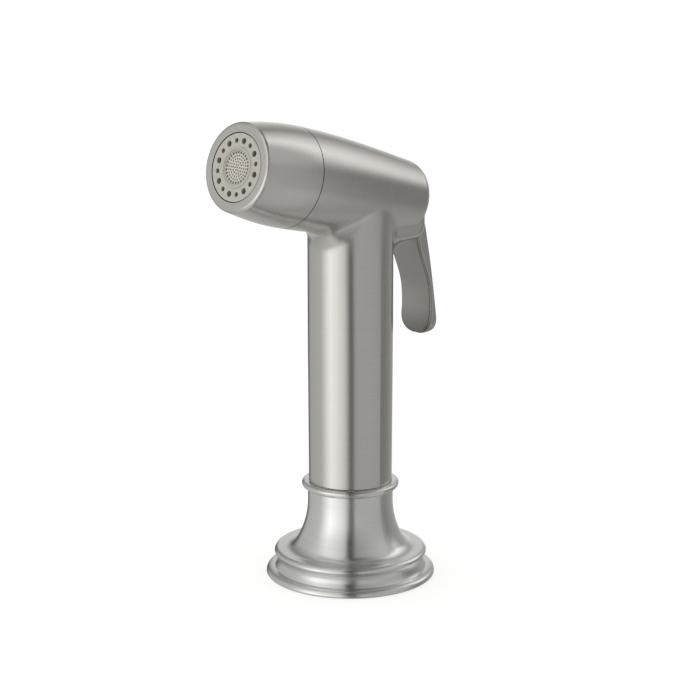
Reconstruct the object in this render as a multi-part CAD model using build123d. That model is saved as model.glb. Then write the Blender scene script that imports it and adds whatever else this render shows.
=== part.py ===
"""Hand spray with a trigger lever, standing in its stepped deck holder.

Millimetres, +Z up. The origin is the holder's axis at the worktop's top face.
The nozzle points to -Y and the lever stands at +Y.
"""
from build123d import *
import math
import os

# Fits and clearances
RUNNING_GAP = 0.1
LOOSE_GAP = 0.2
THREAD_GAP = 0.05
CUT_PAST = 2.0

# Deck holder, from the worktop up
BASE_RADIUS = 27.0
BASE_FOOT_RADIUS = 25.2
BASE_WIDEST = 0.7
BASE_TOP_RADIUS = 24.2
BASE_TOP = 2.4
COVE_RADIUS = 23.4
COVE_DEEPEST = 4.6
COVE_TOP_RADIUS = 23.7
COVE_TOP = 6.2
RIM_RADIUS = 24.35
RIM_ROUND = 1.3
RIM_HEIGHT = 8.7
BELL_FOOT_RISE = 0.05
FLARE_RADIUS = 26.5
FLARE_FOOT_ROUND = 4.0
NECK_RADIUS = 13.6
NECK_START = 24.5
BEAD_REACH = 1.85
BEAD_DROP = 1.58
BEAD_LIFT = 0.9

# Holder's inside and the bush that turns in it
BUSH_WALL = 1.1
BUSH_BORE_RADIUS = 11.1
BUSH_BOTTOM = 4.6
BUSH_FLANGE_RADIUS = 12.9
BUSH_FLANGE_THICKNESS = 1.0
BUSH_FLANGE_SEAT = 30.0
BUSH_FLANGE_GAP = 0.4
CLIP_WIDTH = 0.9
CLIP_DEPTH = 0.5
CLIP_REACH = 0.8

# Threaded shank and the clamp under the worktop
SHANK_RADIUS = 16.6
SHANK_BORE_RADIUS = 13.4
SHANK_LENGTH = 45.0
SHANK_NECK_RADIUS = 15.6
SHANK_NECK_BORE_RADIUS = 13.2
SHANK_NECK_LENGTH = 6.0
SHANK_CHAMFER = 1.0
GASKET_OUTER_RADIUS = 22.0
GASKET_WIDTH = 4.0
GASKET_THICKNESS = 1.5
WORKTOP_THICKNESS = 20.0
WASHER_GAP = 0.25
WASHER_RADIUS = 25.0
RUBBER_WASHER_THICKNESS = 2.5
BACKING_WASHER_THICKNESS = 1.5
NUT_ACROSS_FLATS = 46.0
NUT_HEIGHT = 7.0
NUT_CHAMFER = 1.2

# Handle and its spigot in the bush
HANDLE_FOOT_RADIUS = 13.25
HANDLE_RADIUS = 13.45
HANDLE_TAPER_TOP = 75.0
HANDLE_FOOT_ROUND = 0.4
SPIGOT_TOP_RADIUS = 10.8
SPIGOT_FOOT_RADIUS = 10.4
SPIGOT_FOOT_CHAMFER = 0.5
SPIGOT_FOOT = 16.0
BORE_RADIUS = 9.0

# Head, along its own axis from the handle's axis towards the nozzle
HEAD_TILT = 15.0
HEAD_HEIGHT = 125.2
SEAM = 27.9
SEAM_RADIUS = 15.74
SEAM_GROOVE_DEPTH = 0.3
SEAM_GROOVE_WIDTH = 0.25
HEAD_FRONT_STATION = 14.0
HEAD_FRONT_RADIUS = 15.41
HEAD_MIDDLE_STATION = -4.0
HEAD_MIDDLE_RADIUS = 14.09
HEAD_REAR = -25.5
HEAD_REAR_RADIUS = 12.3
HEAD_REAR_ROUND = 4.0
HEAD_REAR_CROWN = 0.7
HEAD_REAR_SLOPE = 0.11
JUNCTION_FILLET = 8.0

# Nose of the body and the cap that screws on it
NOSE_RADIUS = 12.6
CHAMBER_RADIUS = 9.5
CHAMBER_REAR = 2.0
PASSAGE_RADIUS = 5.0
PASSAGE_REAR = -9.0
CAP_REAR_STATION = 33.7
CAP_REAR_RADIUS = 15.57
CAP_MIDDLE_STATION = 41.7
CAP_MIDDLE_RADIUS = 14.75
CAP_FRONT_RADIUS = 13.8
CAP_FRONT_SLOPE = 0.17
CAP_EDGE_ROUND = 1.2
FACE = 48.95
CAP_SEAL_ROUND = 0.9
CAP_SEAL_OFFSET = 4.1
SEAL_SLACK = 0.2

# Nozzle plate, flush in the cap's opening
PLATE_RADIUS = 10.3
PLATE_GAP = 0.25
PLATE_SINK = 0.1
PLATE_THICKNESS = 2.3
PLATE_FLANGE_RADIUS = 12.3
PLATE_FLANGE_SETBACK = 0.3
PLATE_FLANGE_THICKNESS = 2.1
PLATE_CUP_RADIUS = 9.4
PLATE_GASKET_THICKNESS = 1.6
OUTLET_RING_RADIUS = 8.14
OUTLET_PAIRS = 8
LARGE_OUTLET_RADIUS = 0.95
SMALL_OUTLET_RADIUS = 0.75
OUTLET_PHASE = -8.0

# Aerator in the middle of the plate
AERATOR_RADIUS = 5.6
AERATOR_WALL = 0.5
AERATOR_LENGTH = 9.5
AERATOR_SLEEVE_WALL = 0.9
AERATOR_RECESS = 0.3
AERATOR_SEAL_THICKNESS = 1.0
PLATE_LIP_WIDTH = 0.5
PLATE_LIP_HEIGHT = 0.25
MESH_THICKNESS = 0.6
MESH_RING_PITCH = 0.9
MESH_HOLE_RADIUS = 0.3
MESH_RIM_HOLE_RADIUS = 0.42
MESH_RING_COUNTS = (6, 12, 18, 24)
MESH_RIM_COUNT = 26
JET_DISC_THICKNESS = 1.2
JET_DISC_STEP = 1.0
JET_RADIUS = 0.6
JET_COUNT = 8
JET_RING_RADIUS = 3.2
SCREEN_GAP = 1.5
SCREEN_THICKNESS = 0.5
SCREEN_HOLE_RADIUS = 0.8
SCREEN_RING_RADIUS = 2.6
SCREEN_COUNT = 8

# Lever housing, hung from the rear of the head
HOUSING_HALF_WIDTH = 10.0
HOUSING_REAR = 24.8
HOUSING_DROP = 17.9
HOUSING_TOP_DROP = 5.2
HOUSING_CORNER = 4.5
HOUSING_EDGE_ROUND = 3.0
HOUSING_FILLET = 5.0
KEEL_INSET = 0.05

# Pivot pin of the lever, below the head's axis
PIVOT_DEPTH = 19.5
PIVOT_DROP = 10.9
PIVOT_RADIUS = 1.0
PIVOT_GAP = 0.05
PIVOT_BOSS_RADIUS = 2.3
PIVOT_HALF_LENGTH = 8.5

# Lever: heights below the pin's axis, depths behind the handle's axis
LEVER_HALF_WIDTH = 6.85
LEVER_SIDE_GAP = 0.3
LEVER_TOP_DROP = 1.9
LEVER_LENGTH = 38.4
LEVER_TIP_RADIUS = 6.0
LEVER_EDGE_ROUND = 1.0
LEVER_BACK_TOP = 26.5
LEVER_BACK_MIDDLE = 29.9
LEVER_BACK_FOOT = 32.4
LEVER_FRONT_DROPS = (7.3, 13.3, 18.0, 23.0, 27.3, 31.8, 35.8)
LEVER_FRONT_DEPTHS = (23.6, 25.0, 26.9, 28.7, 29.4, 29.5, 29.1)
LEVER_FOOT_ROUND = 2.2
LEVER_TOP_ROUND = 1.5
TONGUE_HALF_WIDTH = 4.0
RECESS_DEPTH = 20.9
RECESS_HEADROOM = 0.6
TONGUE_SLOT_DEPTH = 16.2
TONGUE_SLOT_BACK = 22.1
TONGUE_SLOT_RISE = 2.9
PAD_RADIUS = 1.6
PAD_DEPTH = 1.2
PAD_GAP = 0.05

# Shut-off valve, lying along Y below the pin
STEM_DROP = 5.1
STEM_END = 18.75
STEM_RADIUS = 1.0
VALVE_BORE_RADIUS = 4.2
VALVE_BORE_END = -6.0
SEAT_FACE = 2.0
SEAT_THICKNESS = 2.4
SEAT_HOLE_RADIUS = 2.6
SEAL_ROUND = 0.6
WASHER_THICKNESS = 1.4
WASHER_DISC_RADIUS = 3.5
FLANGE_THICKNESS = 1.0
FLANGE_RADIUS = 3.3
WASHER_CLIP_RADIUS = 1.7
WASHER_CLIP_THICKNESS = 0.6
GLAND_START = 9.4
DRIVER_SLOT_WIDTH = 1.0
DRIVER_SLOT_DEPTH = 1.0
SPRING_WIRE = 0.5
VALVE_SPRING_RADIUS = 2.4
VALVE_SPRING_TURNS = 4
BORE_TOP_DROP = 8.7
FEED_RADIUS = 3.0
FEED_DEPTH = -2.0
RISER_RADIUS = 2.3
RISER_DEPTH = 6.9
RISER_TOP_DROP = 4.2

# Hose inlet and check valve in the handle's foot
INLET_STUB_RADIUS = 8.33
INLET_STUB_LENGTH = 10.0
INLET_BORE_RADIUS = 5.0
INLET_FLANGE_RADIUS = 10.1
INLET_FLANGE_THICKNESS = 2.4
INLET_SEAL_THICKNESS = 1.0
INLET_THREAD_LENGTH = 9.0
FILTER_THICKNESS = 0.6
FILTER_HOLE_RADIUS = 0.8
FILTER_RING_PITCH = 2.2
FILTER_RING_COUNTS = (6, 12)
CHECK_FIT_GAP = 0.08
CHECK_SEAL_ROUND = 0.75
CHECK_LENGTH = 15.0
CHECK_FLOOR = 3.0
CHECK_SEAT_RADIUS = 4.4
CHECK_CHAMBER_RADIUS = 7.0
CHECK_POPPET_RADIUS = 5.8
CHECK_POPPET_THICKNESS = 1.2
CHECK_STEM_RADIUS = 1.3
CHECK_GUIDE_THICKNESS = 1.6
CHECK_PORT_RADIUS = 1.5
CHECK_PORT_RING = 4.4
CHECK_PORTS = 6
CHECK_STEM_TAIL = 1.2
CHECK_SPRING_RADIUS = 2.4
CHECK_SPRING_TURNS = 4
POPPET_SEAL_INSET = 1.0
POPPET_SEAL_REACH = 0.8
POPPET_SEAL_THICKNESS = 0.6

# Sizes that follow from those above
bush_radius = BUSH_BORE_RADIUS + BUSH_WALL
holder_bore = bush_radius + RUNNING_GAP
flange_top = BUSH_FLANGE_SEAT + BUSH_FLANGE_THICKNESS
counterbore = BUSH_FLANGE_RADIUS + BUSH_FLANGE_GAP
clip_top = SHANK_NECK_LENGTH - RUNNING_GAP
gasket_inner_radius = GASKET_OUTER_RADIUS - GASKET_WIDTH
washer_bore = SHANK_RADIUS + WASHER_GAP
backing_top = -WORKTOP_THICKNESS - RUBBER_WASHER_THICKNESS
nut_top = backing_top - BACKING_WASHER_THICKNESS

fitting_flange_top = SPIGOT_FOOT - INLET_SEAL_THICKNESS
stub_top = fitting_flange_top - INLET_FLANGE_THICKNESS
check_bottom = SPIGOT_FOOT + INLET_THREAD_LENGTH
check_foot = check_bottom + FILTER_THICKNESS
check_top = check_foot + CHECK_LENGTH
check_radius = BORE_RADIUS - CHECK_FIT_GAP

plate_front = FACE - PLATE_SINK
plate_back = plate_front - PLATE_THICKNESS
flange_front = plate_back - PLATE_FLANGE_SETBACK
flange_back = flange_front - PLATE_FLANGE_THICKNESS
nose_end = flange_back - PLATE_GASKET_THICKNESS
cap_bore = NOSE_RADIUS + THREAD_GAP
opening_radius = PLATE_RADIUS + PLATE_GAP
aerator_front = plate_front - AERATOR_RECESS
aerator_rear = plate_front - AERATOR_LENGTH
aerator_bore = AERATOR_RADIUS - AERATOR_WALL

pivot_height = HEAD_HEIGHT - PIVOT_DROP
stem_height = pivot_height - STEM_DROP
housing_bottom = HEAD_HEIGHT - HOUSING_DROP
housing_top = HEAD_HEIGHT - HOUSING_TOP_DROP
lever_top = pivot_height - LEVER_TOP_DROP
lever_foot = lever_top - LEVER_LENGTH
lever_slot_half = LEVER_HALF_WIDTH + LEVER_SIDE_GAP
tongue_slot_half = TONGUE_HALF_WIDTH + LEVER_SIDE_GAP
recess_top = lever_top + RECESS_HEADROOM
pad_face = STEM_END + PAD_GAP
gland_bore = STEM_RADIUS + PIVOT_GAP
stem_flange_rear = SEAT_FACE - WASHER_THICKNESS - FLANGE_THICKNESS

tilt = math.radians(HEAD_TILT)
HEAD = Plane(
    origin=(0, 0, HEAD_HEIGHT),
    x_dir=(1, 0, 0),
    z_dir=(0, -math.cos(tilt), math.sin(tilt)),
)
VALVE = Plane(origin=(0, 0, stem_height), x_dir=(1, 0, 0), z_dir=(0, 1, 0))
PIN = Plane(origin=(0, PIVOT_DEPTH, pivot_height), x_dir=(0, 1, 0), z_dir=(1, 0, 0))


def turned(outline):
    """Revolve a closed outline of (radius, height) about Z."""
    return revolve(Plane.XZ * make_face(outline), Axis.Z)


def disc(radius, low, high):
    """Solid cylinder on the Z axis between two heights."""
    return Pos(0, 0, low) * extrude(Circle(radius), high - low)


def ring(inner, outer, low, high):
    """Plain ring on the Z axis between two heights."""
    return disc(outer, low, high) - disc(inner, low, high)


def seal_ring(section, centre_radius, height):
    """O-ring of round section on the Z axis."""
    return turned(Pos(centre_radius, height) * Circle(section))


def seal_groove(section, outer_radius, height):
    """Square groove for an O-ring that just reaches outer_radius, for cutting."""
    half = section + SEAL_SLACK
    return ring(outer_radius - 2 * section, outer_radius + CUT_PAST, height - half, height + half)


def holes_on_ring(radius, ring_radius, count, low, high, phase=0.0):
    """Cylinders in a polar pattern, for cutting."""
    return [
        spot * disc(radius, low - CUT_PAST, high + CUT_PAST)
        for spot in PolarLocations(ring_radius, count, start_angle=phase)
    ]


def coil(radius, wire, low, high, turns):
    """Helical spring standing on the Z axis, its wire ends inside low and high."""
    span = high - low - wire
    path = Helix(pitch=span / turns, height=span, radius=radius)
    section = Plane(origin=path @ 0, z_dir=path % 0) * Circle(wire / 2)
    return Pos(0, 0, low + wire / 2) * sweep(section, path=path)


def block(half_width, front, back, low, high):
    """Box centred on X, between two depths and two heights."""
    size = Box(2 * half_width, back - front, high - low, align=Align.MIN)
    return Pos(-half_width, front, low) * size


def slab(outline, half_width):
    """Extrude a closed outline of (depth, height) across X, centred on the handle's axis."""
    return Pos(-half_width, 0, 0) * extrude(Plane.YZ * make_face(outline), 2 * half_width)


def bored(solid, cutters):
    """Cut a list of solids out of one."""
    for cutter in cutters:
        solid = solid - cutter
    return solid


def perforated_disc(radius, low, high, hole_radius, pitch, counts):
    """Disc with a centre hole and rings of equal holes, one pitch apart."""
    cutters = [disc(hole_radius, low - CUT_PAST, high + CUT_PAST)]
    for number, count in enumerate(counts, start=1):
        cutters += holes_on_ring(hole_radius, number * pitch, count, low, high)
    return bored(disc(radius, low, high), cutters)


# Deck holder
def base_and_rim_lines():
    """Worktop edge, cove and rounded rim, from the gasket's side outwards and up."""
    rim_slant = RIM_ROUND * math.sqrt(0.5)
    rim_centre = (RIM_RADIUS - RIM_ROUND, RIM_HEIGHT - RIM_ROUND)
    foot = Spline(
        (BASE_FOOT_RADIUS, 0), (BASE_RADIUS, BASE_WIDEST), tangents=((1, 0), (0, 1)))
    shoulder = Spline(
        (BASE_RADIUS, BASE_WIDEST), (BASE_TOP_RADIUS, BASE_TOP), tangents=((0, 1), (-1, 0)))
    cove = ThreePointArc(
        (BASE_TOP_RADIUS, BASE_TOP), (COVE_RADIUS, COVE_DEEPEST), (COVE_TOP_RADIUS, COVE_TOP))
    under_rim = Line((COVE_TOP_RADIUS, COVE_TOP), (RIM_RADIUS, rim_centre[1]))
    rim = ThreePointArc(
        (RIM_RADIUS, rim_centre[1]),
        (rim_centre[0] + rim_slant, rim_centre[1] + rim_slant),
        (rim_centre[0], RIM_HEIGHT),
    )
    return [Line((holder_bore, 0), (BASE_FOOT_RADIUS, 0)), foot, shoulder, cove, under_rim, rim]


def flare_lines():
    """Bell's flare: a wide arc down the neck that runs out level on the rim."""
    foot_height = RIM_HEIGHT + BELL_FOOT_RISE
    wide = (NECK_RADIUS + FLARE_RADIUS, NECK_START)
    reach = FLARE_RADIUS - FLARE_FOOT_ROUND
    tight_height = foot_height + FLARE_FOOT_ROUND
    drop = wide[1] - tight_height
    tight = (wide[0] - math.sqrt(reach ** 2 - drop ** 2), tight_height)
    meeting = math.asin(drop / reach)

    def on_arc(centre, radius, angle):
        return (centre[0] - radius * math.cos(angle), centre[1] - radius * math.sin(angle))

    start = on_arc(tight, FLARE_FOOT_ROUND, math.pi / 2)
    join = on_arc(wide, FLARE_RADIUS, meeting)
    foot_middle = on_arc(tight, FLARE_FOOT_ROUND, (meeting + math.pi / 2) / 2)
    neck_middle = on_arc(wide, FLARE_RADIUS, meeting / 2)
    return [
        Line((RIM_RADIUS - RIM_ROUND, RIM_HEIGHT), start),
        ThreePointArc(start, foot_middle, join),
        ThreePointArc(join, neck_middle, (NECK_RADIUS, NECK_START)),
    ]


def bead_lines():
    """Rounded bead at the neck's mouth, and the counterbore inside it."""
    mouth = BUSH_FLANGE_SEAT + BUSH_FLANGE_THICKNESS
    widest = (NECK_RADIUS + BEAD_REACH, mouth - BEAD_LIFT)
    start = (NECK_RADIUS, widest[1] - BEAD_DROP)
    return [
        Line((NECK_RADIUS, NECK_START), start),
        Spline(start, widest, tangents=((1, 0.3), (0, 1))),
        Spline(widest, (counterbore, mouth), tangents=((0, 1), (-1, 0))),
        Line((counterbore, mouth), (counterbore, BUSH_FLANGE_SEAT)),
        Line((counterbore, BUSH_FLANGE_SEAT), (holder_bore, BUSH_FLANGE_SEAT)),
        Line((holder_bore, BUSH_FLANGE_SEAT), (holder_bore, 0)),
    ]


def holder_bell():
    bell = turned(base_and_rim_lines() + flare_lines() + bead_lines())
    shank_pocket = disc(SHANK_NECK_RADIUS + THREAD_GAP, 0, SHANK_NECK_LENGTH)
    return bell - shank_pocket - deck_gasket()


def mount_shank():
    thread = ring(SHANK_BORE_RADIUS, SHANK_RADIUS, -SHANK_LENGTH, 0)
    foot_edges = thread.faces().sort_by(Axis.Z)[0].edges()
    thread = chamfer(foot_edges.sort_by(SortBy.RADIUS)[-1], SHANK_CHAMFER)
    neck = ring(SHANK_NECK_BORE_RADIUS, SHANK_NECK_RADIUS, 0, SHANK_NECK_LENGTH)
    return thread + neck


def deck_gasket():
    return ring(gasket_inner_radius, GASKET_OUTER_RADIUS, 0, GASKET_THICKNESS)


def rubber_washer():
    return ring(washer_bore, WASHER_RADIUS, backing_top, -WORKTOP_THICKNESS)


def backing_washer():
    return ring(washer_bore, WASHER_RADIUS, nut_top, backing_top)


def lock_nut():
    low = nut_top - NUT_HEIGHT
    hexagon = RegularPolygon(NUT_ACROSS_FLATS / 2, 6, major_radius=False)
    flats = Pos(0, 0, low) * extrude(hexagon, NUT_HEIGHT)
    rounding = disc(NUT_ACROSS_FLATS / math.sqrt(3), low, nut_top)
    rounding = chamfer(rounding.edges().filter_by(GeomType.CIRCLE), NUT_CHAMFER)
    return (flats & rounding) - disc(SHANK_RADIUS + THREAD_GAP, low, nut_top)


# Bush in the neck
def guide_bush():
    sleeve = ring(BUSH_BORE_RADIUS, bush_radius, BUSH_BOTTOM, flange_top)
    flange = ring(BUSH_BORE_RADIUS, BUSH_FLANGE_RADIUS, BUSH_FLANGE_SEAT, flange_top)
    groove = ring(bush_radius - CLIP_DEPTH, bush_radius, clip_top - CLIP_WIDTH, clip_top)
    return sleeve + flange - groove


def bush_clip():
    reach = bush_radius + CLIP_REACH
    return ring(bush_radius - CLIP_DEPTH, reach, clip_top - CLIP_WIDTH, clip_top)


# Hand spray
def head_outline_solid():
    """Rear of the head as one turned form in the head's own frame."""
    corner = HEAD_REAR + HEAD_REAR_ROUND
    flat_radius = HEAD_REAR_RADIUS - HEAD_REAR_ROUND
    crown = HEAD_REAR - HEAD_REAR_CROWN
    slant = HEAD_REAR_ROUND * math.sqrt(0.5)
    side = Spline(
        (SEAM_RADIUS, SEAM),
        (HEAD_FRONT_RADIUS, HEAD_FRONT_STATION),
        (HEAD_MIDDLE_RADIUS, HEAD_MIDDLE_STATION),
        (HEAD_REAR_RADIUS, corner),
        tangents=((0, -1), (-HEAD_REAR_SLOPE, -1)),
    )
    shoulder = ThreePointArc(
        (HEAD_REAR_RADIUS, corner), (flat_radius + slant, corner - slant), (flat_radius, HEAD_REAR))
    dome = (flat_radius ** 2 + HEAD_REAR_CROWN ** 2) / (2 * HEAD_REAR_CROWN)
    middle = (flat_radius / 2, crown + dome - math.sqrt(dome ** 2 - (flat_radius / 2) ** 2))
    rear = ThreePointArc((flat_radius, HEAD_REAR), middle, (0, crown))
    return turned([
        Line((0, SEAM), (SEAM_RADIUS, SEAM)), side, shoulder, rear, Line((0, crown), (0, SEAM))])


def handle_solid():
    edge_radius = HANDLE_FOOT_RADIUS - HANDLE_FOOT_ROUND
    foot_corner = flange_top + HANDLE_FOOT_ROUND
    slant = HANDLE_FOOT_ROUND * math.sqrt(0.5)
    return turned([
        Line((0, flange_top), (edge_radius, flange_top)),
        ThreePointArc(
            (edge_radius, flange_top),
            (edge_radius + slant, foot_corner - slant),
            (HANDLE_FOOT_RADIUS, foot_corner),
        ),
        Line((HANDLE_FOOT_RADIUS, foot_corner), (HANDLE_RADIUS, HANDLE_TAPER_TOP)),
        Line((HANDLE_RADIUS, HANDLE_TAPER_TOP), (HANDLE_RADIUS, HEAD_HEIGHT)),
        Line((HANDLE_RADIUS, HEAD_HEIGHT), (0, HEAD_HEIGHT)),
        Line((0, HEAD_HEIGHT), (0, flange_top)),
    ])


def housing_solid():
    """Lever housing: a keel under the rear of the head, rounded at its rear corner."""
    slant = HOUSING_CORNER * math.sqrt(0.5)
    corner = (HOUSING_REAR - HOUSING_CORNER, housing_bottom + HOUSING_CORNER)
    outline = [
        Line((0, housing_top), (0, housing_bottom)),
        Line((0, housing_bottom), (corner[0], housing_bottom)),
        ThreePointArc(
            (corner[0], housing_bottom), (corner[0] + slant, corner[1] - slant), (HOUSING_REAR, corner[1])),
        Line((HOUSING_REAR, corner[1]), (HOUSING_REAR, housing_top)),
        Line((HOUSING_REAR, housing_top), (0, housing_top)),
    ]
    keel = slab(outline, HOUSING_HALF_WIDTH)
    flanks = keel.faces().filter_by(Axis.X).edges()
    open_edges = flanks.filter_by_position(Axis.Y, HOUSING_CORNER, HOUSING_REAR)
    open_edges = open_edges.filter_by_position(Axis.Z, 0, housing_top, inclusive=(True, False))
    return fillet(open_edges, HOUSING_EDGE_ROUND)


def spigot_solid():
    return turned(Polyline(
        (0, SPIGOT_FOOT),
        (SPIGOT_FOOT_RADIUS - SPIGOT_FOOT_CHAMFER, SPIGOT_FOOT),
        (SPIGOT_FOOT_RADIUS, SPIGOT_FOOT + SPIGOT_FOOT_CHAMFER),
        (SPIGOT_TOP_RADIUS, flange_top),
        (0, flange_top),
        close=True,
    ))


def lever_slots():
    """Room for the lever's plate, and the deeper slot for its tongue."""
    below = housing_bottom - CUT_PAST
    behind = HOUSING_REAR + CUT_PAST
    slot_top = pivot_height + TONGUE_SLOT_RISE
    return [
        block(lever_slot_half, RECESS_DEPTH, behind, below, recess_top),
        block(tongue_slot_half, TONGUE_SLOT_DEPTH, behind, below, recess_top),
        block(tongue_slot_half, TONGUE_SLOT_DEPTH, TONGUE_SLOT_BACK, below, slot_top),
    ]


def spray_body():
    handle = handle_solid()
    head = HEAD * head_outline_solid()
    housing = housing_solid()
    neck = handle + head
    neck = fillet(new_edges(handle, head, combined=neck), JUNCTION_FILLET)
    core = disc(HANDLE_RADIUS - KEEL_INSET, housing_bottom - 2 * HOUSING_FILLET, HEAD_HEIGHT)
    keel = core + housing
    seams = new_edges(core, housing, combined=keel)
    seams = seams.filter_by_position(Axis.Z, 0, housing_top, inclusive=(True, False))
    keel = fillet(seams, HOUSING_FILLET)
    nose = HEAD * disc(NOSE_RADIUS, SEAM - CUT_PAST, nose_end)
    seam_groove = HEAD * ring(SEAM_RADIUS - SEAM_GROOVE_DEPTH, SEAM_RADIUS + CUT_PAST,
                              SEAM - SEAM_GROOVE_WIDTH, SEAM)
    bore_top = stem_height - BORE_TOP_DROP
    riser_top = HEAD_HEIGHT - RISER_TOP_DROP
    waterways = [
        disc(BORE_RADIUS, SPIGOT_FOOT, bore_top),
        Pos(0, FEED_DEPTH, 0) * disc(FEED_RADIUS, bore_top - CUT_PAST, stem_height),
        VALVE * disc(VALVE_BORE_RADIUS, VALVE_BORE_END, TONGUE_SLOT_DEPTH + CUT_PAST),
        Pos(0, RISER_DEPTH, 0) * disc(RISER_RADIUS, stem_height, riser_top),
        HEAD * disc(CHAMBER_RADIUS, CHAMBER_REAR, nose_end),
        HEAD * disc(PASSAGE_RADIUS, PASSAGE_REAR, CHAMBER_REAR + CUT_PAST),
        PIN * disc(PIVOT_RADIUS, -2 * HOUSING_HALF_WIDTH, PIVOT_HALF_LENGTH),
        HEAD * seal_groove(CAP_SEAL_ROUND, NOSE_RADIUS, SEAM + CAP_SEAL_OFFSET),
        seam_groove,
    ]
    return bored(neck + keel + spigot_solid() + nose, lever_slots() + waterways)


def nose_cap():
    edge_start = FACE - CAP_EDGE_ROUND
    slant = CAP_EDGE_ROUND * math.sqrt(0.5)
    rim_radius = CAP_FRONT_RADIUS - CAP_EDGE_ROUND
    side = Spline(
        (SEAM_RADIUS, SEAM),
        (CAP_REAR_RADIUS, CAP_REAR_STATION),
        (CAP_MIDDLE_RADIUS, CAP_MIDDLE_STATION),
        (CAP_FRONT_RADIUS, edge_start),
        tangents=((0, 1), (-CAP_FRONT_SLOPE, 1)),
    )
    edge = ThreePointArc(
        (CAP_FRONT_RADIUS, edge_start), (rim_radius + slant, edge_start + slant), (rim_radius, FACE))
    inside = Polyline(
        (rim_radius, FACE),
        (opening_radius, FACE),
        (opening_radius, flange_front),
        (cap_bore, flange_front),
        (cap_bore, SEAM),
        (SEAM_RADIUS, SEAM),
    )
    return HEAD * turned([side, edge] + inside.edges())


def cap_seal():
    return HEAD * seal_ring(CAP_SEAL_ROUND, NOSE_RADIUS - CAP_SEAL_ROUND, SEAM + CAP_SEAL_OFFSET)


def nozzle_plate():
    face = disc(PLATE_RADIUS, flange_back, plate_front) - disc(PLATE_CUP_RADIUS, flange_back, plate_back)
    flange = ring(PLATE_CUP_RADIUS, PLATE_FLANGE_RADIUS, flange_back, flange_front)
    sleeve = disc(AERATOR_RADIUS + AERATOR_SLEEVE_WALL, aerator_rear, plate_front)
    lip = disc(AERATOR_RADIUS + PLATE_LIP_WIDTH, plate_front, plate_front + PLATE_LIP_HEIGHT)
    seat = disc(AERATOR_RADIUS, aerator_rear, plate_front + PLATE_LIP_HEIGHT)
    half_step = 180 / OUTLET_PAIRS
    large = holes_on_ring(
        LARGE_OUTLET_RADIUS, OUTLET_RING_RADIUS, OUTLET_PAIRS, plate_back, plate_front, OUTLET_PHASE)
    small = holes_on_ring(
        SMALL_OUTLET_RADIUS, OUTLET_RING_RADIUS, OUTLET_PAIRS, plate_back, plate_front,
        OUTLET_PHASE + half_step)
    return HEAD * bored(face + flange + sleeve + lip, [seat] + large + small)


def plate_gasket():
    return HEAD * ring(PLATE_CUP_RADIUS, PLATE_FLANGE_RADIUS, nose_end, flange_back)


# Aerator
def aerator_housing():
    return HEAD * ring(aerator_bore, AERATOR_RADIUS, aerator_rear + AERATOR_SEAL_THICKNESS, plate_front)


def aerator_seal():
    return HEAD * ring(aerator_bore, AERATOR_RADIUS, aerator_rear, aerator_rear + AERATOR_SEAL_THICKNESS)


def jet_disc():
    low = aerator_rear + AERATOR_SEAL_THICKNESS + JET_DISC_STEP
    high = low + JET_DISC_THICKNESS
    jets = holes_on_ring(JET_RADIUS, JET_RING_RADIUS, JET_COUNT, low, high)
    return HEAD * bored(disc(aerator_bore, low, high), jets)


def inner_screen():
    high = aerator_front - MESH_THICKNESS - SCREEN_GAP
    return HEAD * perforated_disc(
        aerator_bore, high - SCREEN_THICKNESS, high, SCREEN_HOLE_RADIUS, SCREEN_RING_RADIUS, (SCREEN_COUNT,))


def outlet_mesh():
    """Perforated outlet disc, with a ring of wider holes along its rim."""
    low = aerator_front - MESH_THICKNESS
    mesh = perforated_disc(
        aerator_bore, low, aerator_front, MESH_HOLE_RADIUS, MESH_RING_PITCH, MESH_RING_COUNTS)
    rim_ring = aerator_bore - MESH_RIM_HOLE_RADIUS - LOOSE_GAP / 2
    rim_holes = holes_on_ring(MESH_RIM_HOLE_RADIUS, rim_ring, MESH_RIM_COUNT, low, aerator_front)
    return HEAD * bored(mesh, rim_holes)


# Shut-off valve
def seat_ring():
    groove = seal_groove(SEAL_ROUND, VALVE_BORE_RADIUS, SEAT_FACE + SEAT_THICKNESS / 2)
    seat = ring(SEAT_HOLE_RADIUS, VALVE_BORE_RADIUS, SEAT_FACE, SEAT_FACE + SEAT_THICKNESS)
    return VALVE * (seat - groove)


def seat_seal():
    return VALVE * seal_ring(SEAL_ROUND, VALVE_BORE_RADIUS - SEAL_ROUND, SEAT_FACE + SEAT_THICKNESS / 2)


def gland_nut():
    body = disc(VALVE_BORE_RADIUS, GLAND_START, TONGUE_SLOT_DEPTH)
    stem_hole = disc(gland_bore, GLAND_START, TONGUE_SLOT_DEPTH)
    seal_pocket = disc(STEM_RADIUS + 2 * SEAL_ROUND, GLAND_START, GLAND_START + 2 * SEAL_ROUND)
    slot_middle = TONGUE_SLOT_DEPTH - DRIVER_SLOT_DEPTH / 2
    driver_slot = Pos(0, 0, slot_middle) * Box(2 * VALVE_BORE_RADIUS, DRIVER_SLOT_WIDTH, DRIVER_SLOT_DEPTH)
    return VALVE * (body - stem_hole - seal_pocket - driver_slot)


def stem_seal():
    return VALVE * ring(gland_bore, STEM_RADIUS + 2 * SEAL_ROUND, GLAND_START, GLAND_START + 2 * SEAL_ROUND)


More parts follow.
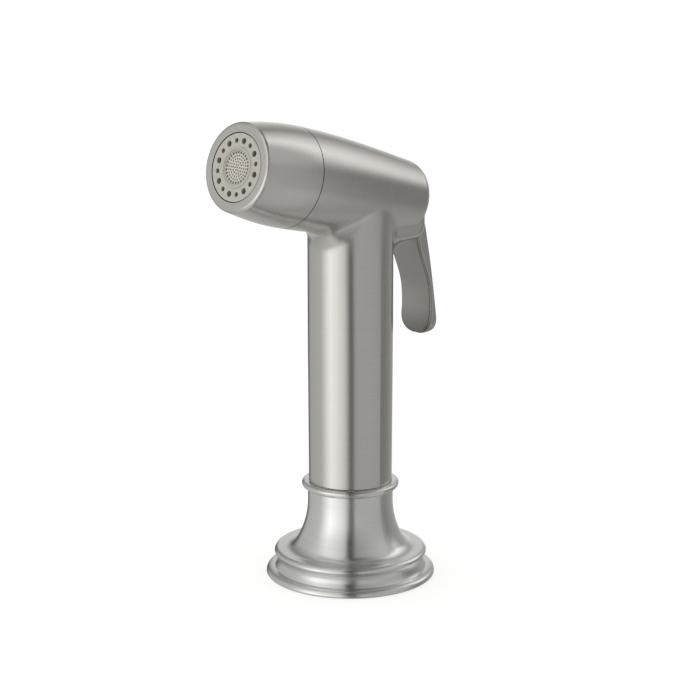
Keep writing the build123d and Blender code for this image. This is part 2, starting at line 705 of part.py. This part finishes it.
def valve_stem():
    """Push rod with a domed end, a flange for the washer and a pilot for the spring."""
    flange_front_face = stem_flange_rear + FLANGE_THICKNESS
    pilot_radius = VALVE_SPRING_RADIUS - SPRING_WIRE - LOOSE_GAP
    dome_centre = STEM_END - STEM_RADIUS
    rod = disc(STEM_RADIUS, stem_flange_rear, dome_centre)
    dome = Pos(0, 0, dome_centre) * Sphere(STEM_RADIUS)
    flange = disc(FLANGE_RADIUS, stem_flange_rear, flange_front_face)
    pilot = disc(pilot_radius, stem_flange_rear - FLANGE_THICKNESS, stem_flange_rear)
    return VALVE * (rod + dome + flange + pilot)


def valve_washer():
    return VALVE * ring(STEM_RADIUS, WASHER_DISC_RADIUS, SEAT_FACE - WASHER_THICKNESS, SEAT_FACE)


def washer_clip():
    return VALVE * ring(STEM_RADIUS, WASHER_CLIP_RADIUS, SEAT_FACE, SEAT_FACE + WASHER_CLIP_THICKNESS)


def valve_spring():
    return VALVE * coil(
        VALVE_SPRING_RADIUS, SPRING_WIRE, VALVE_BORE_END, stem_flange_rear, VALVE_SPRING_TURNS)


# Lever
def lever_side():
    """Lever's outline from the side: S-curved front, bowed back, rounded foot."""
    front = Spline(*(
        (depth, pivot_height - drop) for depth, drop in zip(LEVER_FRONT_DEPTHS, LEVER_FRONT_DROPS)))
    top = front @ 0
    tip = front @ 1
    back_foot = (LEVER_BACK_FOOT, lever_foot + LEVER_FOOT_ROUND)
    back_top = (LEVER_BACK_TOP, lever_top - LEVER_TOP_ROUND)
    back_middle = (LEVER_BACK_MIDDLE, (back_foot[1] + back_top[1]) / 2)
    foot_start = (LEVER_BACK_FOOT - LEVER_FOOT_ROUND, lever_foot)
    top_end = (LEVER_BACK_TOP - LEVER_TOP_ROUND, lever_top)
    return [
        front,
        Spline(tip, foot_start, tangents=(front % 1, (1, 0))),
        Spline(foot_start, back_foot, tangents=((1, 0), (0, 1))),
        ThreePointArc(back_foot, back_middle, back_top),
        Spline(back_top, top_end, tangents=((-0.2, 1), (-1, 0))),
        Line(top_end, (top.X, lever_top)),
        Line((top.X, lever_top), top),
    ]


def lever_plate():
    """Finger plate with a rounded tip and softened front edges."""
    plate = slab(lever_side(), LEVER_HALF_WIDTH)
    width = 2 * LEVER_HALF_WIDTH
    tip = Pos(0, lever_foot + LEVER_LENGTH / 2) * RectangleRounded(width, LEVER_LENGTH, LEVER_TIP_RADIUS)
    square_top = Pos(0, lever_top - LEVER_LENGTH / 4) * Rectangle(width, LEVER_LENGTH / 2)
    plan = Plane.XZ * (tip + square_top)
    plate = plate & extrude(plan, -2 * LEVER_BACK_FOOT)
    front = plate.faces().filter_by(GeomType.EXTRUSION).sort_by(SortBy.AREA)[-1]
    return fillet(front.edges().sort_by(Axis.Z)[:-1], LEVER_EDGE_ROUND)


def lever_tongue():
    """Arm from the plate to the pin, with the flat that meets the valve stem."""
    boss = PIN * Pos(0, 0, -TONGUE_HALF_WIDTH) * disc(PIVOT_BOSS_RADIUS, 0, 2 * TONGUE_HALF_WIDTH)
    foot = stem_height - PAD_RADIUS - LEVER_SIDE_GAP
    root = LEVER_FRONT_DEPTHS[0] + LEVER_EDGE_ROUND
    web = Polyline(
        (pad_face, foot),
        (pad_face, pivot_height - PIVOT_RADIUS),
        (PIVOT_DEPTH + PIVOT_BOSS_RADIUS * 0.9, pivot_height + PIVOT_BOSS_RADIUS * 0.4),
        (PIVOT_DEPTH + PIVOT_BOSS_RADIUS * 1.05, lever_top - LEVER_EDGE_ROUND),
        (root, lever_top - LEVER_EDGE_ROUND),
        (root, foot),
        close=True,
    )
    return boss + slab(web, TONGUE_HALF_WIDTH)


def trigger_lever():
    pin_bore = PIN * disc(PIVOT_RADIUS + PIVOT_GAP, -HOUSING_HALF_WIDTH, HOUSING_HALF_WIDTH)
    return lever_plate() + lever_tongue() - pin_bore - thrust_pad()


def thrust_pad():
    return VALVE * disc(PAD_RADIUS, pad_face, pad_face + PAD_DEPTH)


def pivot_pin():
    return PIN * disc(PIVOT_RADIUS, -PIVOT_HALF_LENGTH, PIVOT_HALF_LENGTH)


# Hose inlet and check valve
def inlet_fitting():
    stub_foot = stub_top - INLET_STUB_LENGTH
    thread = disc(BORE_RADIUS, fitting_flange_top, check_bottom)
    flange = Pos(0, 0, stub_top) * extrude(RegularPolygon(INLET_FLANGE_RADIUS, 6), INLET_FLANGE_THICKNESS)
    stub = disc(INLET_STUB_RADIUS, stub_foot, stub_top)
    return thread + flange + stub - disc(INLET_BORE_RADIUS, stub_foot, check_bottom)


def inlet_seal():
    return ring(BORE_RADIUS, SPIGOT_FOOT_RADIUS - SPIGOT_FOOT_CHAMFER, fitting_flange_top, SPIGOT_FOOT)


def filter_screen():
    return perforated_disc(
        check_radius, check_bottom, check_foot, FILTER_HOLE_RADIUS, FILTER_RING_PITCH, FILTER_RING_COUNTS)


def check_housing():
    body = disc(check_radius, check_foot, check_top)
    seat = disc(CHECK_SEAT_RADIUS, check_foot, check_foot + CHECK_FLOOR)
    chamber = disc(CHECK_CHAMBER_RADIUS, check_foot + CHECK_FLOOR, check_top)
    groove = seal_groove(CHECK_SEAL_ROUND, BORE_RADIUS, check_foot + CHECK_LENGTH / 2)
    return body - seat - chamber - groove


def check_seal():
    return seal_ring(CHECK_SEAL_ROUND, BORE_RADIUS - CHECK_SEAL_ROUND, check_foot + CHECK_LENGTH / 2)


def check_guide():
    low = check_top - CHECK_GUIDE_THICKNESS
    stem_hole = disc(CHECK_STEM_RADIUS + PIVOT_GAP, low, check_top)
    ports = holes_on_ring(CHECK_PORT_RADIUS, CHECK_PORT_RING, CHECK_PORTS, low, check_top)
    return bored(disc(CHECK_CHAMBER_RADIUS, low, check_top), [stem_hole] + ports)


def check_poppet():
    seat = check_foot + CHECK_FLOOR
    head = disc(CHECK_POPPET_RADIUS, seat, seat + CHECK_POPPET_THICKNESS)
    stem = disc(CHECK_STEM_RADIUS, seat, check_top + CHECK_STEM_TAIL)
    return head + stem - poppet_seal()


def poppet_seal():
    seat = check_foot + CHECK_FLOOR
    inner = CHECK_SEAT_RADIUS - POPPET_SEAL_INSET
    return ring(inner, CHECK_SEAT_RADIUS + POPPET_SEAL_REACH, seat, seat + POPPET_SEAL_THICKNESS)


def check_spring():
    low = check_foot + CHECK_FLOOR + CHECK_POPPET_THICKNESS
    high = check_top - CHECK_GUIDE_THICKNESS
    return coil(CHECK_SPRING_RADIUS, SPRING_WIRE, low, high, CHECK_SPRING_TURNS)


PIECES = [
    holder_bell, mount_shank, deck_gasket, rubber_washer, backing_washer, lock_nut,
    guide_bush, bush_clip,
    spray_body, nose_cap, cap_seal, nozzle_plate, plate_gasket,
    aerator_housing, aerator_seal, jet_disc, inner_screen, outlet_mesh,
    seat_ring, seat_seal, gland_nut, stem_seal, valve_stem, valve_washer, washer_clip, valve_spring,
    trigger_lever, thrust_pad, pivot_pin,
    inlet_fitting, inlet_seal, filter_screen, check_housing, check_seal, check_guide,
    check_poppet, poppet_seal, check_spring,
]

os.makedirs("parts", exist_ok=True)
for piece in PIECES:
    export_step(piece(), f"parts/{piece.__name__}.step")
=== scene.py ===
"""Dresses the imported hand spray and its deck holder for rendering."""
import math

import bpy
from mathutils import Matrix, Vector


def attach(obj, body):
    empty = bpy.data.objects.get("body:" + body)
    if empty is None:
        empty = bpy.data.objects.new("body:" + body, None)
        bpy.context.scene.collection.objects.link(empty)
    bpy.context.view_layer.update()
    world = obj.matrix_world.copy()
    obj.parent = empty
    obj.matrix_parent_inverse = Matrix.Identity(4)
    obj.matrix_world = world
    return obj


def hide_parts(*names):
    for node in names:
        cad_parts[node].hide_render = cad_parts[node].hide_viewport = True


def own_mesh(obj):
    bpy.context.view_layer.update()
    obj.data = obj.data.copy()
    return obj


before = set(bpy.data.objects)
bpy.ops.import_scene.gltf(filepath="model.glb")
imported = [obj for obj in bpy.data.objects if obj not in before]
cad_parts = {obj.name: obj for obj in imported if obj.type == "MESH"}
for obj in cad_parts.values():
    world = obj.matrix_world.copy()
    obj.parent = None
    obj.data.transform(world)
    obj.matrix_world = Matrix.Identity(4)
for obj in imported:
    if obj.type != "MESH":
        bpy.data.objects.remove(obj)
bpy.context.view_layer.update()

# Camera: its place and the point that it looks at, and its lens and sensor in millimetres
CAMERA_PLACE = Vector((0.5352, -0.5233, 0.2671))
CAMERA_AIM = Vector((-0.00008, -0.00009, 0.0735))
CAMERA_LENS = 126.0
SENSOR_WIDTH = 36.0

# Floor: its half width, how far it lies under the base, its colour, and the glow and the shade
# that the camera sees in its place, of which only the shade takes shadows
FLOOR_HALF = 3.0
FLOOR_DROP = 0.00005
FLOOR_COLOUR = (0.9, 0.9, 0.9, 1.0)
FLOOR_GLOW = 0.68
FLOOR_SHADE = (0.36, 0.36, 0.36, 1.0)

# Level of the light that matt colour scatters, the colour of all the light, and the background
# that the camera sees
PLAIN_LIGHT = 1.0
LIGHT_COLOUR = (1.0, 0.995, 0.985, 1.0)
BACKGROUND = (1.0, 1.0, 1.0, 1.0)

# Brightness of the studio that metal and sheen reflect, by bearing from the camera in degrees,
# positive to its right, in four tiers of height: towards the floor, near the horizon, above it,
# and overhead
BEARINGS = (-180, -160, -140, -85, -55, -30, -13, -6, 0, 6, 13, 82, 100, 120, 160)
DEEP_TIER = (0.44, 0.61, 0.41, 0.55, 0.59, 0.68, 0.53, 0.35, 0.15, 0.24, 0.31, 0.56, 0.27, 0.45, 0.21)
LOW_TIER = (0.99, 0.02, 0.48, 0.59, 1.37, 1.06, 0.79, 0.41, 0.12, 0.10, 0.50, 0.43, 0.21, 0.28, 0.43)
HIGH_TIER = (0.67, 0.24, 0.34, 0.62, 0.95, 0.76, 0.62, 0.04, 0.02, 0.11, 0.34, 0.56, 0.46, 1.22, 0.32)
TOP_TIER = (0.22, 0.58, 0.69, 0.38, 0.71, 0.66, 0.25, 0.05, 0.02, 0.07, 0.08, 0.26, 0.49, 0.14, 0.02)

# Brightness that a ramp's white stands for, and the rise of a ray, from -1 straight down to 1
# straight up, over which each tier takes over from the one below it
RAMP_WHITE = 2.0
LOW_RISE = (-0.55, -0.30)
HIGH_RISE = (0.12, 0.36)
TOP_RISE = (0.70, 0.95)

# The head's axis, and the height at which it crosses the handle's axis
HEAD_TILT = math.radians(15.0)
HEAD_AXIS = (0.0, -math.cos(HEAD_TILT), math.sin(HEAD_TILT))
AXIS_HEIGHT = 0.1252
AXIS_START = AXIS_HEIGHT * math.sin(HEAD_TILT)

# Places along the head's axis of the seam groove's edges and of the nozzle plate's front, and
# the radius of the opening that the plate sits in
SEAM_BACK = AXIS_START + 0.02765
SEAM_FRONT = AXIS_START + 0.0279
PLATE_FRONT = AXIS_START + 0.04885
OPENING_RADIUS = 0.01055

# Painted shade: where metal darkens into the groove from behind and from in front, where it stops
# being dark outside the opening, how deep the outlets darken, and the painted shade in the groove
# and the opening, and in the outlets
GROOVE_SHADE_BACK = (SEAM_BACK - 0.00003, SEAM_BACK - 0.00001)
GROOVE_SHADE_FRONT = (SEAM_FRONT + 0.00003, SEAM_FRONT + 0.00001)
OPENING_SHADE_EDGE = (OPENING_RADIUS + 0.00002, OPENING_RADIUS + 0.00008)
PAINTED_GAP_SHADE = (0.06, 0.058, 0.052, 1.0)
HOLE_SHADE_DEPTH = 0.0004
HOLE_PAINTED_SHADE = (0.34, 0.32, 0.27, 1.0)

# Noise values between which a surface goes from its darker to its paler tint
TINT_RANGE = (0.3, 0.7)

# Brushing: lines per metre along the axis, their drift and the patches per metre, the noise
# values between which the roughness changes, how far it and the tint change, and the strength
# and height of a line
BRUSH_LINES = 4200.0
BRUSH_DRIFT = 90.0
PATCH_SCALE = 160.0
BRUSH_RANGE = (0.25, 0.75)
ROUGHNESS_SPREAD = 0.02
TINT_SPREAD = 0.02
BRUSH_STRENGTH = 0.004
BRUSH_DEPTH = 0.00002

# How far light spreads across the lines rather than along them, and the turn that this takes
ANISOTROPY = 0.6
QUARTER_TURN = 0.25

# Weight of the way out from the axis in the brushing's direction, for faces across that axis
RADIAL_SHARE = 8.0

# Height over which the handle's brushing turns into the head's, and what a metre towards the
# back adds to a point's height for it
TURN_HEIGHT = (0.104, 0.116)
TURN_SLOPE = -0.26

# Lever: a lean that gives its sides a brushing direction, how far a face turns to the front for the
# painted shade that stands for the handle's shade on it, and the height and share of the deeper
# painted shade at its tip
SIDE_LEAN = (0.0, 0.05, 0.2)
FRONT_SHADE_TURN = (-0.7, 0.1)
TIP_SHADE_HEIGHT = (0.074, 0.084)
TIP_SHADE_SHARE = 0.6

# Moulded texture: its scale, its paler and darker tint, the noise values between which the
# roughness changes and how far it does, and its strength and height
MOULD_SCALE = 900.0
MOULD_PALER = 1.03
MOULD_DARKER = 0.95
MOULD_RANGE = (0.2, 0.8)
MOULD_SPREAD = 0.05
MOULD_STRENGTH = 0.08
MOULD_DEPTH = 0.00005

# Brushed nickel of the holder, the body, the cap and the lever's outer faces, the lever's a little
# darker than the body's as painted shade, the painted shade on the lever's inner faces, and its
# roughness
COOL_NICKEL = (0.784, 0.791, 0.770)
WARM_NICKEL = (0.661, 0.651, 0.620)
CAP_NICKEL = (0.675, 0.665, 0.632)
LEVER_NICKEL = (0.566, 0.556, 0.528)
LEVER_PAINTED_SHADE = (0.402, 0.388, 0.365)
SATIN = 0.24

# Each spring's node, joint, way of shortening, fixed end, and the most that its joint presses it
SPRINGS = (
    ("valve_spring", "valve_lift", (0.0, 1.0, 0.0), (0.0, -0.006, 0.0), 0.00143),
    ("check_spring", "check_lift", (0.0, 0.0, 1.0), (0.0, 0.0, 0.039), 0.004),
)


class Nodes:
    """Small helper for building a node tree."""

    def __init__(self, tree):
        self.tree = tree
        self.tree.nodes.clear()

    def add(self, kind, **settings):
        node = self.tree.nodes.new(kind)
        for name, value in settings.items():
            setattr(node, name, value)
        return node

    def link(self, source, target):
        self.tree.links.new(source, target)

    def value(self, socket, item):
        if isinstance(item, bpy.types.NodeSocket):
            self.link(item, socket)
        else:
            socket.default_value = item

    def split(self, item):
        node = self.add("ShaderNodeSeparateXYZ")
        self.link(item, node.inputs[0])
        return node.outputs

    def math(self, operation, a, b, c=None):
        node = self.add("ShaderNodeMath", operation=operation)
        self.value(node.inputs[0], a)
        self.value(node.inputs[1], b)
        if c is not None:
            self.value(node.inputs[2], c)
        return node.outputs[0]

    def vector(self, operation, a, b=None, out=0):
        node = self.add("ShaderNodeVectorMath", operation=operation)
        self.value(node.inputs[0], a)
        if b is not None:
            self.value(node.inputs[1], b)
        return node.outputs[out]

    def mapped(self, item, low, high, new_low=0.0, new_high=1.0, smooth=True):
        node = self.add("ShaderNodeMapRange")
        node.interpolation_type = "SMOOTHSTEP" if smooth else "LINEAR"
        self.value(node.inputs["Value"], item)
        node.inputs["From Min"].default_value = low
        node.inputs["From Max"].default_value = high
        node.inputs["To Min"].default_value = new_low
        node.inputs["To Max"].default_value = new_high
        return node.outputs["Result"]

    def mix(self, factor, a, b, kind="RGBA"):
        node = self.add("ShaderNodeMix", data_type=kind)
        slots = {"FLOAT": (2, 3, 0), "VECTOR": (4, 5, 1), "RGBA": (6, 7, 2)}[kind]
        self.value(node.inputs[0], factor)
        self.value(node.inputs[slots[0]], a)
        self.value(node.inputs[slots[1]], b)
        return node.outputs[slots[2]]

    def mix_shader(self, factor, a, b):
        node = self.add("ShaderNodeMixShader")
        self.link(factor, node.inputs[0])
        self.link(a.outputs[0], node.inputs[1])
        self.link(b.outputs[0], node.inputs[2])
        return node

    def noise(self, place, scale, detail, roughness=0.5):
        node = self.add("ShaderNodeTexNoise")
        node.inputs["Scale"].default_value = scale
        node.inputs["Detail"].default_value = detail
        node.inputs["Roughness"].default_value = roughness
        self.link(place, node.inputs["Vector"])
        return node.outputs[0]

    def bump(self, height, strength, distance):
        node = self.add("ShaderNodeBump")
        node.inputs["Strength"].default_value = strength
        node.inputs["Distance"].default_value = distance
        self.link(height, node.inputs["Height"])
        return node.outputs[0]

    def output(self, kind, shader):
        self.link(shader.outputs[0], self.add(kind).inputs[0])


def new_material(name):
    """An empty material, and the helper for its nodes."""
    material = bpy.data.materials.new(name)
    material.use_nodes = True
    return material, Nodes(material.node_tree)


def shades(colour, paler, darker):
    """A paler and a darker shade of a colour, with alpha."""
    light = tuple(min(1.0, c * paler) for c in colour) + (1.0,)
    dark = tuple(c * darker for c in colour) + (1.0,)
    return light, dark


def make_camera():
    data = bpy.data.cameras.new("view")
    data.lens = CAMERA_LENS
    data.sensor_width = SENSOR_WIDTH
    data.clip_start = 0.01
    data.clip_end = 20.0
    camera = bpy.data.objects.new("view", data)
    camera.location = CAMERA_PLACE
    camera.rotation_euler = (CAMERA_AIM - CAMERA_PLACE).to_track_quat("-Z", "Y").to_euler()
    bpy.context.scene.collection.objects.link(camera)
    bpy.context.scene.camera = camera


def tier(n, turn, levels):
    """Brightness round the object at one height, blended between the bearings."""
    ramp = n.add("ShaderNodeValToRGB")
    n.link(turn, ramp.inputs[0])
    stops = ramp.color_ramp
    stops.interpolation = "LINEAR"
    while len(stops.elements) > 1:
        stops.elements.remove(stops.elements[0])
    for index, (angle, level) in enumerate(zip(BEARINGS + (180,), levels + levels[:1])):
        place = angle / 360 + 0.5
        stop = stops.elements[0] if index == 0 else stops.elements.new(place)
        stop.position = place
        stop.color = (level / RAMP_WHITE,) * 3 + (1.0,)
    return n.math("MULTIPLY", ramp.outputs[0], RAMP_WHITE)


def make_world():
    """White background and plain light, and for reflections a studio that varies round the object."""
    world = bpy.data.worlds.new("studio")
    bpy.context.scene.world = world
    world.use_nodes = True
    world.cycles.sampling_method = "NONE"
    n = Nodes(world.node_tree)
    toward = CAMERA_PLACE.copy()
    toward.z = 0.0
    toward.normalize()
    rightward = Vector((-toward.y, toward.x, 0.0))
    ray = n.add("ShaderNodeTexCoord").outputs["Generated"]
    ahead = n.vector("DOT_PRODUCT", ray, tuple(toward), out=1)
    aside = n.vector("DOT_PRODUCT", ray, tuple(rightward), out=1)
    bearing = n.math("ARCTAN2", aside, ahead)
    turn = n.math("MULTIPLY_ADD", bearing, 0.5 / math.pi, 0.5)
    rise = n.split(ray)[2]
    level = tier(n, turn, DEEP_TIER)
    for levels, edges in ((LOW_TIER, LOW_RISE), (HIGH_TIER, HIGH_RISE), (TOP_TIER, TOP_RISE)):
        level = n.mix(n.mapped(rise, *edges), level, tier(n, turn, levels), "FLOAT")
    path = n.add("ShaderNodeLightPath")
    lit = n.add("ShaderNodeBackground")
    n.link(n.mix(path.outputs["Is Glossy Ray"], PLAIN_LIGHT, level, "FLOAT"), lit.inputs["Strength"])
    lit.inputs["Color"].default_value = LIGHT_COLOUR
    seen = n.add("ShaderNodeBackground")
    seen.inputs["Strength"].default_value = 1.0
    seen.inputs["Color"].default_value = BACKGROUND
    n.output("ShaderNodeOutputWorld", n.mix_shader(path.outputs["Is Camera Ray"], lit, seen))


def make_floor():
    """White worktop that keeps the object's shadow."""
    mesh = bpy.data.meshes.new("floor")
    corners = [(-1, -1), (1, -1), (1, 1), (-1, 1)]
    places = [(x * FLOOR_HALF, y * FLOOR_HALF, -FLOOR_DROP) for x, y in corners]
    mesh.from_pydata(places, [], [(0, 1, 2, 3)])
    floor = bpy.data.objects.new("floor", mesh)
    bpy.context.scene.collection.objects.link(floor)
    material, n = new_material("floor")
    path = n.add("ShaderNodeLightPath")
    plain = n.add("ShaderNodeBsdfDiffuse")
    plain.inputs["Color"].default_value = FLOOR_COLOUR
    shaded = n.add("ShaderNodeBsdfDiffuse")
    shaded.inputs["Color"].default_value = FLOOR_SHADE
    glow = n.add("ShaderNodeEmission")
    glow.inputs["Strength"].default_value = FLOOR_GLOW
    lifted = n.add("ShaderNodeAddShader")
    n.link(shaded.outputs[0], lifted.inputs[0])
    n.link(glow.outputs[0], lifted.inputs[1])
    clear = n.add("ShaderNodeBsdfTransparent")
    seen = n.mix_shader(path.outputs["Is Camera Ray"], plain, lifted)
    n.output("ShaderNodeOutputMaterial", n.mix_shader(path.outputs["Is Glossy Ray"], seen, clear))
    mesh.materials.append(material)


def brushing(n, axis, place, normal, along_head):
    """The direction of the brushed lines, and the place along the axis that they go round."""
    split = n.split(place)
    outward = n.vector("ADD", normal, n.vector("MULTIPLY", place, (RADIAL_SHARE,) * 3))
    about_z = n.vector("CROSS_PRODUCT", (0.0, 0.0, 1.0), outward)
    from_head = n.vector("SUBTRACT", outward, (0.0, 0.0, RADIAL_SHARE * AXIS_HEIGHT))
    about_head = n.vector("CROSS_PRODUCT", HEAD_AXIS, from_head)
    if axis == "Z":
        tangent, along = about_z, split[2]
    elif axis == "HEAD":
        tangent, along = about_head, along_head
    elif axis == "BOTH":
        height = n.math("MULTIPLY_ADD", split[1], TURN_SLOPE, split[2])
        in_head = n.mapped(height, *TURN_HEIGHT)
        tangent = n.mix(in_head, about_z, about_head, "VECTOR")
        along = n.mix(in_head, split[2], along_head, "FLOAT")
    else:
        across = n.vector("CROSS_PRODUCT", (1.0, 0.0, 0.0), normal)
        tangent, along = n.vector("ADD", across, SIDE_LEAN), split[0]
    return n.vector("NORMALIZE", tangent), along


def brushed_metal(name, colour, roughness, axis="Z", shade=None, groove=None, opening=None):
    """Metal brushed round an axis: Z, the head's, those two in turn up the handle, or X.

    Round X its lines run along the lever. It takes painted shade on faces turned to the front when
    given a shade, past a groove's edge, and inside an opening round the head's axis.
    """
    material, n = new_material(name)
    coordinates = n.add("ShaderNodeTexCoord").outputs
    place = coordinates["Object"]
    normal = n.add("ShaderNodeNewGeometry").outputs["Normal"]
    along_head = n.vector("DOT_PRODUCT", place, HEAD_AXIS, out=1)
    tangent, along = brushing(n, axis, place, normal, along_head)
    line = n.add("ShaderNodeCombineXYZ")
    n.link(n.math("MULTIPLY", along, BRUSH_LINES), line.inputs[0])
    drift = n.vector("MULTIPLY", place, (BRUSH_DRIFT,) * 3)
    grain = n.noise(n.vector("ADD", line.outputs[0], drift), scale=1.0, detail=3.0, roughness=0.6)
    patches = n.noise(place, scale=PATCH_SCALE, detail=4.0)
    rough = n.mapped(grain, *BRUSH_RANGE, roughness - ROUGHNESS_SPREAD, roughness + ROUGHNESS_SPREAD,
                     smooth=False)
    rough = n.math("SUBTRACT", rough, ROUGHNESS_SPREAD)
    rough = n.math("MULTIPLY_ADD", patches, 2 * ROUGHNESS_SPREAD, rough)
    light, dark = shades(colour, 1 + TINT_SPREAD, 1 - TINT_SPREAD)
    tint_and_shade = n.mix(n.mapped(grain, *TINT_RANGE), dark, light)
    # Painted shade on the lever's faces turned to the front, deeper towards its tip
    if shade is not None:
        inner, tip = shades(shade, 1.0, TIP_SHADE_SHARE)
        inner = n.mix(n.mapped(n.split(place)[2], *TIP_SHADE_HEIGHT), tip, inner)
        tint_and_shade = n.mix(n.mapped(n.split(coordinates["Normal"])[1], *FRONT_SHADE_TURN), inner, tint_and_shade)
    # Painted shade in the seam groove
    if groove is not None:
        tint_and_shade = n.mix(n.mapped(along_head, *groove), tint_and_shade, PAINTED_GAP_SHADE)
    # Painted shade in the gap round the opening that the nozzle plate sits in
    if opening is not None:
        from_start = n.vector("SUBTRACT", place, (0.0, 0.0, AXIS_HEIGHT))
        round_head = n.vector("CROSS_PRODUCT", HEAD_AXIS, from_start)
        radius = n.vector("LENGTH", round_head, out=1)
        tint_and_shade = n.mix(n.mapped(radius, *opening), PAINTED_GAP_SHADE, tint_and_shade)
    metal = n.add("ShaderNodeBsdfPrincipled")
    metal.inputs["Metallic"].default_value = 1.0
    metal.inputs["Anisotropic"].default_value = ANISOTROPY
    metal.inputs["Anisotropic Rotation"].default_value = QUARTER_TURN
    n.link(tint_and_shade, metal.inputs["Base Color"])
    n.link(rough, metal.inputs["Roughness"])
    n.link(tangent, metal.inputs["Tangent"])
    n.link(n.bump(grain, BRUSH_STRENGTH, BRUSH_DEPTH), metal.inputs["Normal"])
    n.output("ShaderNodeOutputMaterial", metal)
    return material


def moulded(name, colour, roughness, front=None):
    """Plastic or rubber with a fine moulded texture, with painted shade in its holes behind a front.
    """
    material, n = new_material(name)
    place = n.add("ShaderNodeTexCoord").outputs["Object"]
    fine = n.noise(place, scale=MOULD_SCALE, detail=3.0)
    light, dark = shades(colour, MOULD_PALER, MOULD_DARKER)
    tint_and_shade = n.mix(n.mapped(fine, *TINT_RANGE), dark, light)
    # Painted shade on the walls of the holes behind the front
    if front is not None:
        along = n.vector("DOT_PRODUCT", place, HEAD_AXIS, out=1)
        tint_and_shade = n.mix(n.mapped(along, front - HOLE_SHADE_DEPTH, front), HOLE_PAINTED_SHADE, tint_and_shade)
    rough = n.mapped(fine, *MOULD_RANGE, roughness - MOULD_SPREAD, roughness + MOULD_SPREAD,
                     smooth=False)
    body = n.add("ShaderNodeBsdfPrincipled")
    n.link(tint_and_shade, body.inputs["Base Color"])
    n.link(rough, body.inputs["Roughness"])
    n.link(n.bump(fine, MOULD_STRENGTH, MOULD_DEPTH), body.inputs["Normal"])
    n.output("ShaderNodeOutputMaterial", body)
    return material


def make_finishes():
    """Each finish, with the nodes that have it."""
    return {
        brushed_metal("nickel_holder", COOL_NICKEL, SATIN): ("holder_bell",),
        brushed_metal("nickel_body", WARM_NICKEL, SATIN, axis="BOTH",
                      groove=GROOVE_SHADE_BACK): ("spray_body",),
        brushed_metal("nickel_cap", CAP_NICKEL, SATIN, axis="HEAD", groove=GROOVE_SHADE_FRONT,
                      opening=OPENING_SHADE_EDGE): ("nose_cap",),
        brushed_metal("nickel_lever", LEVER_NICKEL, SATIN, axis="X",
                      shade=LEVER_PAINTED_SHADE): ("trigger_lever",),
        brushed_metal("steel", (0.60, 0.60, 0.60), 0.30): (
            "backing_washer", "pivot_pin", "valve_stem", "washer_clip", "valve_spring",
            "check_spring", "bush_clip",
        ),
        brushed_metal("brass", (0.75, 0.58, 0.30), 0.28): (
            "mount_shank", "lock_nut", "seat_ring", "gland_nut", "inlet_fitting",
        ),
        moulded("plate", (0.493, 0.477, 0.432), 0.42, front=PLATE_FRONT): ("nozzle_plate",),
        moulded("aerator", (0.47, 0.45, 0.40), 0.42): ("aerator_housing",),
        moulded("mesh", (0.605, 0.574, 0.505), 0.45): ("outlet_mesh",),
        moulded("screens", (0.55, 0.51, 0.44), 0.5): ("inner_screen", "filter_screen", "jet_disc"),
        moulded("rubber", (0.02, 0.02, 0.02), 0.6): (
            "deck_gasket", "rubber_washer", "cap_seal", "plate_gasket", "aerator_seal",
            "seat_seal", "stem_seal", "valve_washer", "inlet_seal", "check_seal", "poppet_seal",
        ),
        moulded("acetal", (0.80, 0.80, 0.77), 0.4): (
            "guide_bush", "check_housing", "check_guide", "check_poppet", "thrust_pad",
        ),
    }


def make_springs():
    """Coils in the springs' places, copied from the springs' meshes and carried by the sprayer."""
    for node, joint, axis, fixed_end, travel in SPRINGS:
        coil = bpy.data.objects.new(node + "_coil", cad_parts[node].data.copy())
        bpy.context.scene.collection.objects.link(coil)
        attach(coil, "sprayer")
        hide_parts(node)
        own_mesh(coil)


make_camera()
make_world()
make_floor()
for finish, nodes in make_finishes().items():
    for node in nodes:
        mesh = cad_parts[node].data
        mesh.materials.clear()
        mesh.materials.append(finish)
make_springs()
bpy.context.scene.view_settings.view_transform = "Standard"
